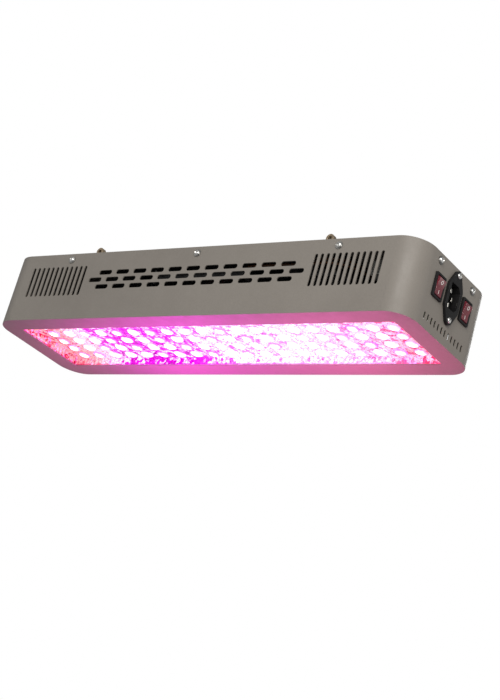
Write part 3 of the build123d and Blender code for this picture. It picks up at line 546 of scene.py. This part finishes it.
def value_attribute(mesh, name, values, kind="FLOAT"):
    attribute = mesh.attributes.new(name, kind, "POINT")
    if kind == "FLOAT":
        attribute.data.foreach_set("value", values)
    elif kind == "FLOAT_COLOR":
        attribute.data.foreach_set("color", [c for v in values for c in (*v, 1.0)])
    else:
        attribute.data.foreach_set("vector", [c for v in values for c in v])


def points_mesh(name, points, **attributes):
    mesh = bpy.data.meshes.new(name)
    mesh.from_pydata([tuple(p) for p in points], [], [])
    for key, (kind, values) in attributes.items():
        value_attribute(mesh, key, values, kind)
    return mesh


def setting_tree():
    """Node tree that sets one master piece on every point, turned by the point's own turn."""
    tree = bpy.data.node_groups.new("set pieces on points", "GeometryNodeTree")
    face = tree.interface
    face.new_socket("Geometry", in_out="INPUT", socket_type="NodeSocketGeometry")
    face.new_socket("Piece", in_out="INPUT", socket_type="NodeSocketObject")
    face.new_socket("Size", in_out="INPUT", socket_type="NodeSocketFloat").default_value = 1.0
    face.new_socket("Finish", in_out="INPUT", socket_type="NodeSocketMaterial")
    face.new_socket("Geometry", in_out="OUTPUT", socket_type="NodeSocketGeometry")
    add = tree.nodes.new
    start, end = add("NodeGroupInput"), add("NodeGroupOutput")
    info = add("GeometryNodeObjectInfo")
    info.inputs["As Instance"].default_value = True
    turn = add("GeometryNodeInputNamedAttribute")
    turn.data_type = "FLOAT_VECTOR"
    turn.inputs["Name"].default_value = "turn"
    rotation = add("FunctionNodeEulerToRotation")
    instances = add("GeometryNodeInstanceOnPoints")
    realize = add("GeometryNodeRealizeInstances")
    finish = add("GeometryNodeSetMaterial")
    link = tree.links.new
    link(start.outputs["Geometry"], instances.inputs["Points"])
    link(start.outputs["Piece"], info.inputs["Object"])
    link(info.outputs["Geometry"], instances.inputs["Instance"])
    link(turn.outputs["Attribute"], rotation.inputs["Euler"])
    link(rotation.outputs["Rotation"], instances.inputs["Rotation"])
    link(start.outputs["Size"], instances.inputs["Scale"])
    link(instances.outputs["Instances"], realize.inputs["Geometry"])
    link(realize.outputs["Geometry"], finish.inputs["Geometry"])
    link(start.outputs["Finish"], finish.inputs["Material"])
    link(finish.outputs["Geometry"], end.inputs["Geometry"])
    return tree


SETTING = setting_tree()


def socket_id(tree, name):
    return next(s.identifier for s in tree.interface.items_tree
                if s.item_type == "SOCKET" and s.in_out == "INPUT" and s.name == name)


def set_on_points(name, master, points, finish, turns, angle, **attributes):
    """Sets copies of master on the points, removes it and returns one plain mesh object."""
    mesh = points_mesh(name, points, turn=("FLOAT_VECTOR", turns), **attributes)
    carrier = object_from(mesh, name)
    modifier = carrier.modifiers.new("set", "NODES")
    modifier.node_group = SETTING
    modifier[socket_id(SETTING, "Piece")] = master
    modifier[socket_id(SETTING, "Size")] = 1.0
    modifier[socket_id(SETTING, "Finish")] = FINISHES[finish]
    settle(carrier, angle)
    bpy.data.objects.remove(master)
    return carrier


def lathe(name, profile, steps):
    """A turned piece about Z from (radius, height) pairs, first and last on the axis."""
    form = bmesh.new()
    rings = []
    for radius, height in profile:
        if radius < 1e-7:
            rings.append([form.verts.new((0, 0, height))])
        else:
            rings.append([form.verts.new((radius * math.cos(2 * math.pi * i / steps),
                                          radius * math.sin(2 * math.pi * i / steps), height))
                          for i in range(steps)])
    for a, b in zip(rings, rings[1:]):
        for i in range(steps):
            j = (i + 1) % steps
            corners = []
            for v in (a[i % len(a)], a[j % len(a)], b[j % len(b)], b[i % len(b)]):
                if v not in corners:
                    corners.append(v)
            if len(corners) > 2:
                form.faces.new(corners)
    bmesh.ops.recalc_face_normals(form, faces=form.faces)
    return object_of(form, name)


LENS_RADIUS = 6.5 * MM
LENS_COLUMNS, LENS_ROWS, LENS_SIDES = 20, 5, 12
LENS_SKIRT = 1.06  # the skirt's radius in lens radii
# From the dome down to the board: radius in lens radii, height in lens depths.
LENS_PROFILE = (
    (0, -1.0), (0.30, -0.99), (0.60, -0.955), (0.86, -0.895), (LENS_SKIRT, -0.80),
    (LENS_SKIRT, -0.70), (1.0, -0.68), (1.0, 0.0), (0, 0),
)
LENS_TINTS = {
    "m": (0.85, 0.02, 0.72), "p": (1.0, 0.30, 0.62), "w": (1.0, 0.80, 0.98),
    "v": (0.62, 0.10, 0.95), "r": (1.0, 0.10, 0.22),
}
LENS_PATTERN = (
    "rwwvwmwwvwwvwwmwpwvr",
    "pwvwmwmwwwvwwpwwwmwp",
    "rwwmwwmwwmwvwwpwvwwr",
    "pwmwmwwvwwwwmwwpwmwp",
    "rvwwwmwwmwvwwwwwpwvr",
)


def make_lenses():
    """One lens over each diode, each with the tint of its diode."""
    low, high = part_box("led_lenses")
    depth = high.z - low.z
    step_x = (high.x - low.x - 2 * LENS_RADIUS) / (LENS_COLUMNS - 1)
    step_y = (high.y - low.y - 2 * LENS_RADIUS) / (LENS_ROWS - 1)
    profile = [(r * LENS_RADIUS, h * depth) for r, h in LENS_PROFILE]
    master = lathe("lens_master", profile, LENS_SIDES)
    middle = [max(0.0, 1.0 - math.hypot(v.co.x, v.co.y) / LENS_RADIUS)
              for v in master.data.vertices]
    value_attribute(master.data, "middle", middle)
    points, colours = [], []
    for row in range(LENS_ROWS):
        for column in range(LENS_COLUMNS):
            points.append((low.x + LENS_RADIUS + column * step_x,
                           low.y + LENS_RADIUS + row * step_y, high.z))
            colours.append(LENS_TINTS[LENS_PATTERN[row][column]])
    level = [(0.0, 0.0, 0.0)] * len(points)
    lenses = set_on_points("lit_lenses", master, points, "lens", level, 50.0,
                           tint=("FLOAT_COLOR", colours))
    stand_for(lenses, "led_lenses")


# ---------------------------------------------------------------- screws

SCREW_SIDES = 24
SCREW_CORNER = 30.0  # degrees from which a screw's edge is sharp


def islands(node):
    """The (low, high) box of each separate solid of a node."""
    form = bmesh.new()
    form.from_mesh(frame["nodes"][node].data)
    bmesh.ops.remove_doubles(form, verts=form.verts, dist=SAME_POINT)
    form.verts.index_update()
    seen, boxes = set(), []
    for start in form.verts:
        if start.index in seen:
            continue
        seen.add(start.index)
        stack, corners = [start], []
        while stack:
            v = stack.pop()
            corners.append(v.co.copy())
            for e in v.link_edges:
                w = e.other_vert(v)
                if w.index not in seen:
                    seen.add(w.index)
                    stack.append(w)
        low = Vector(min(c[k] for c in corners) for k in range(3))
        high = Vector(max(c[k] for c in corners) for k in range(3))
        boxes.append((low, high))
    form.free()
    return boxes


def cut_with(obj, cutter):
    """Takes the cutter's shape out of an object and removes the cutter."""
    cut = obj.modifiers.new("cut", "BOOLEAN")
    cut.object = cutter
    cut.operation = "DIFFERENCE"
    cut.solver = "EXACT"
    settle(obj)
    bpy.data.objects.remove(cutter)
    return obj


def cross_cutter(reach, width, top, depth):
    """Tapered cross for a driver recess, pointing down, as one closed twelve-sided plug."""
    form = bmesh.new()
    rings = []
    for z, share in ((top + 0.2 * MM, 1.15), (top - depth, 0.42)):
        far, near = reach * share / 2, width * (0.6 + 0.4 * share) / 2
        ring = []
        for quarter in range(4):
            turn = Matrix.Rotation(quarter * math.pi / 2, 3, "Z")
            for x, y in ((far, -near), (far, near), (near, near)):
                ring.append(form.verts.new(turn @ Vector((x, y, z))))
        rings.append(ring)
    form.faces.new(rings[0])
    form.faces.new(reversed(rings[1]))
    count = len(rings[0])
    for i in range(count):
        j = (i + 1) % count
        form.faces.new((rings[1][i], rings[1][j], rings[0][j], rings[0][i]))
    bmesh.ops.recalc_face_normals(form, faces=form.faces)
    return object_of(form, "cross")


def pan_head(name, radius, height, shank, length):
    """Pan head machine screw with a cross recess; the underside of its head is at z 0."""
    profile = [(0, height), (0.35 * radius, 0.97 * height), (0.65 * radius, 0.86 * height),
               (0.87 * radius, 0.64 * height), (0.98 * radius, 0.36 * height),
               (radius, 0.18 * height), (0.97 * radius, 0.0), (shank, 0.0),
               (shank, -length + shank * 0.3), (shank * 0.75, -length), (0, -length)]
    head = lathe(name, profile, SCREW_SIDES)
    return cut_with(head, cross_cutter(1.25 * radius, 0.36 * radius, height, 0.62 * height))


# Turns a screw that stands along Z so that its head faces the given way in X and Y.
FACING = {
    (0, -1): (math.pi / 2, 0.0, 0.0), (0, 1): (-math.pi / 2, 0.0, 0.0),
    (1, 0): (0.0, math.pi / 2, 0.0), (-1, 0): (0.0, -math.pi / 2, 0.0),
}


def turned_screw(side, spin):
    """The turn of a screw whose head faces a side, itself turned by spin about its axis."""
    return tuple((Euler(FACING[side]).to_matrix() @ Euler((0, 0, spin)).to_matrix()).to_euler())


def set_screws(node, piece, radius, head, shank, length, points, turns):
    """Puts the node's screws on the points, as the named piece."""
    master = pan_head(piece + "_master", radius, head, shank, length - head)
    screws = set_on_points(piece + "_set", master, points, "steel", turns, SCREW_CORNER)
    stand_for(screws, node)


def make_side_screws():
    """Cover screws round the sides, each turned a little differently."""
    points, turns = [], []
    boxes = islands("side_screws")
    sizes = sorted(boxes[0][1] - boxes[0][0])
    head = 1.9 * MM
    for i, (low, high) in enumerate(boxes):
        middle, size = (low + high) / 2, high - low
        if size.y > size.x:
            side = (0, 1 if middle.y > 0 else -1)
            y = high.y - head if middle.y > 0 else low.y + head
            points.append(Vector((middle.x, y, middle.z)))
        else:
            side = (1 if middle.x > 0 else -1, 0)
            x = high.x - head if middle.x > 0 else low.x + head
            points.append(Vector((x, middle.y, middle.z)))
        turns.append(turned_screw(side, 0.4 + 1.3 * i))
    set_screws("side_screws", "side_screw", sizes[0] / 2, head, 1.5 * MM, sizes[-1], points, turns)


def make_upright_screws(node, head, shank):
    """Screws that stand along Z, heads up."""
    boxes = islands(node)
    size = boxes[0][1] - boxes[0][0]
    points = [Vector(((low.x + high.x) / 2, (low.y + high.y) / 2, high.z - head))
              for low, high in boxes]
    turns = [(0.0, 0.0, 0.3 + 1.1 * i) for i in range(len(points))]
    set_screws(node, node, size.x / 2, head, shank, size.z, points, turns)


def make_inlet_screws():
    """The two screws of the mains inlet, heads towards the plug."""
    boxes = islands("inlet_screws")
    size = boxes[0][1] - boxes[0][0]
    head = 1.8 * MM
    points = [Vector((high.x - head, (low.y + high.y) / 2, (low.z + high.z) / 2))
              for low, high in boxes]
    turns = [turned_screw((1, 0), 0.5 + i) for i in range(len(points))]
    set_screws("inlet_screws", "inlet_screw", size.y / 2, head, 1.5 * MM, size.x, points, turns)


# ---------------------------------------------------------------- fan wheels

BLADES = 7
HUB_RADIUS, HUB_FOOT = 17.0 * MM, 1.9 * MM
AXLE_RADIUS, AXLE_SIDES, HUB_SIDES = 1.5 * MM, 20, 64
BLADE_ACROSS, BLADE_ALONG = 8, 7  # faces from edge to edge and from hub to tip
BLADE_THICK, BLADE_BOW = 0.0011, 0.0016
ROOT_PITCH, PITCH_LOST = 52, 20  # degrees
ROOT_CHORD, CHORD_GAINED = 0.017, 0.008
TIP_SWEEP = math.radians(16)
TIP_PLAY, ROOT_BITE, BLADE_DROP = 0.0006, 0.0006, 0.0006


def blade_master(inner, outer, height):
    """One swept fan blade: a thin curved sheet that twists from hub to tip."""
    form = bmesh.new()
    sheets = []
    for lift in (0, BLADE_THICK):
        sheet = []
        for i in range(BLADE_ALONG + 1):
            t = i / BLADE_ALONG
            radius = inner + (outer - inner) * t
            pitch = math.radians(ROOT_PITCH - PITCH_LOST * t)
            chord = ROOT_CHORD + CHORD_GAINED * t
            sweep = TIP_SWEEP * t * t
            row = []
            for j in range(BLADE_ACROSS + 1):
                s = j / BLADE_ACROSS - 0.5
                run = s * chord * math.cos(pitch)
                rise = s * chord * math.sin(pitch) + BLADE_BOW * (1 - 4 * s * s)
                rise = max(-height / 2 + BLADE_THICK, min(height / 2 - BLADE_THICK, rise))
                angle = sweep + run / radius
                z = rise + lift * (1 - 3.2 * s * s)
                place = (radius * math.cos(angle), radius * math.sin(angle), z)
                row.append(form.verts.new(place))
            sheet.append(row)
        sheets.append(sheet)
    under, over = sheets
    for i in range(BLADE_ALONG):
        for j in range(BLADE_ACROSS):
            form.faces.new((over[i][j], over[i + 1][j], over[i + 1][j + 1], over[i][j + 1]))
            form.faces.new((under[i][j + 1], under[i + 1][j + 1], under[i + 1][j], under[i][j]))
    for i in range(BLADE_ALONG):
        for j in (0, BLADE_ACROSS):
            form.faces.new((under[i][j], under[i + 1][j], over[i + 1][j], over[i][j]))
    for j in range(BLADE_ACROSS):
        for i in (0, BLADE_ALONG):
            form.faces.new((under[i][j], over[i][j], over[i][j + 1], under[i][j + 1]))
    bmesh.ops.recalc_face_normals(form, faces=form.faces)
    return object_of(form, "blade_master")


def join_pieces(name, objects):
    """Makes several objects one."""
    bpy.ops.object.select_all(action="DESELECT")
    for obj in objects:
        obj.select_set(True)
    bpy.context.view_layer.objects.active = objects[0]
    bpy.ops.object.join()
    joined = bpy.context.view_layer.objects.active
    joined.name = name
    return joined


def make_fan_wheel(node):
    """A hub cup on its axle with a ring of swept blades."""
    low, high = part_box(node)
    middle = (low + high) / 2
    tip = (high.y - low.y) / 2 - TIP_PLAY
    top = high.z
    floor = low.z + HUB_FOOT
    profile = [(0, top), (0.80, top), (0.93, top - 0.0005), (0.985, top - 0.0016),
               (1.0, top - 0.0035), (1.0, floor), (0.9, floor), (0.9, top - 0.003),
               (0.0, top - 0.003)]
    cup = lathe("hub", [(r * HUB_RADIUS, z) for r, z in profile], HUB_SIDES)
    seat = top - 0.0035
    pin = [(0, seat), (AXLE_RADIUS, seat), (AXLE_RADIUS, low.z), (0, low.z)]
    axle = lathe("axle", pin, AXLE_SIDES)
    for obj in (cup, axle):
        obj.data.transform(Matrix.Translation((middle.x, 0, 0)))
    blade = blade_master(HUB_RADIUS - ROOT_BITE, tip, top - floor)
    centre = Vector((middle.x, 0, (top + floor) / 2 - BLADE_DROP))
    turns = [(0.0, 0.0, 2 * math.pi * i / BLADES) for i in range(BLADES)]
    blades = set_on_points(node + "_blades", blade, [centre] * BLADES, "fan", turns, 40.0)
    for obj in (cup, axle):
        settle(obj)
    wheel = join_pieces(node + "_wheel", [blades, cup, axle])
    stand_for(wheel, node)


# ---------------------------------------------------------------- switch marks

# How far the rocker's face stands out at its middle and at its ends, and how long each half is.
ROCKER_VALLEY, ROCKER_CREST, ROCKER_REACH = 4.5 * MM, 5.9 * MM, 10.0 * MM
ROCKER_TILT = 10.0  # degrees that the rocker leans at rest
MARK_HEIGHT, MARK_THICK = 4.6 * MM, 0.05 * MM
RING_OUTER, RING_INNER, RING_SIDES = 1.75 * MM, 1.15 * MM, 32
BAR_WIDTH, BAR_LENGTH = 0.6 * MM, 3.4 * MM


def add_ring(form, place):
    """A flat raised ring about X."""
    rings = []
    for radius, height in ((RING_OUTER, 0), (RING_OUTER, MARK_THICK),
                           (RING_INNER, MARK_THICK), (RING_INNER, 0)):
        angles = [2 * math.pi * i / RING_SIDES for i in range(RING_SIDES)]
        rings.append([form.verts.new(place @ Vector((
            height, radius * math.cos(angle), radius * math.sin(angle)))) for angle in angles])
    for a, b in zip(rings, rings[1:] + rings[:1]):
        for i in range(RING_SIDES):
            j = (i + 1) % RING_SIDES
            form.faces.new((a[i], a[j], b[j], b[i]))


def add_bar(form, place):
    """A flat raised bar along Z."""
    made = bmesh.ops.create_cube(form, size=1.0)["verts"]
    bmesh.ops.scale(form, vec=(MARK_THICK, BAR_WIDTH, BAR_LENGTH), verts=made)
    bmesh.ops.translate(form, vec=(MARK_THICK / 2, 0, 0), verts=made)
    bmesh.ops.transform(form, matrix=place, verts=made)


def make_switch_marks(node, joint_name):
    """The ring and the bar that any mains rocker carries, one on each half of its face."""
    joint = next(j for j in frame["joints"] if j["name"] == joint_name)
    tilt = Matrix.Rotation(math.radians(ROCKER_TILT), 4, "Y")
    seat = Matrix.Translation(Vector(joint["pos_m"])) @ tilt
    form = bmesh.new()
    for sign, add_mark in ((1, add_ring), (-1, add_bar)):
        out = ROCKER_VALLEY + (ROCKER_CREST - ROCKER_VALLEY) * MARK_HEIGHT / ROCKER_REACH
        lean = math.atan2(ROCKER_CREST - ROCKER_VALLEY, ROCKER_REACH) * sign
        local = Matrix.Translation((out, 0, sign * MARK_HEIGHT)) @ Matrix.Rotation(lean, 4, "Y")
        add_mark(form, seat @ local)
    bmesh.ops.recalc_face_normals(form, faces=form.faces)
    marks = object_of(form, node + "_marks")
    give_finish(marks, "mark")
    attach(marks, BODY_OF[node])


# ---------------------------------------------------------------- the lamp

# Width in millimetres by which each node's edges are eased.
EASED_EDGES = (
    ("casing", 0.35), ("top_cover", 0.35), ("inlet_body", 0.35), ("switch_body_left", 0.3),
    ("switch_body_right", 0.3), ("rocker_left", 0.35), ("rocker_right", 0.35),
    ("eye_bolts", 0.6), ("side_washers", 0.12), ("eye_washers", 0.12), ("fan_frame_left", 0.4),
    ("fan_frame_right", 0.4), ("fan_guard_left", 0.0), ("fan_guard_right", 0.0),
    ("inlet_pins", 0.25),
)

make_lenses()
make_side_screws()
make_upright_screws("fan_screws", 2.3 * MM, 2.0 * MM)
make_upright_screws("cover_screws", 1.8 * MM, 1.5 * MM)
make_inlet_screws()
make_fan_wheel("impeller_left")
make_fan_wheel("impeller_right")
make_switch_marks("rocker_left", "rocker_tilt_left")
make_switch_marks("rocker_right", "rocker_tilt_right")

for node, edge in EASED_EDGES:
    eased_copy(node, edge * MM)
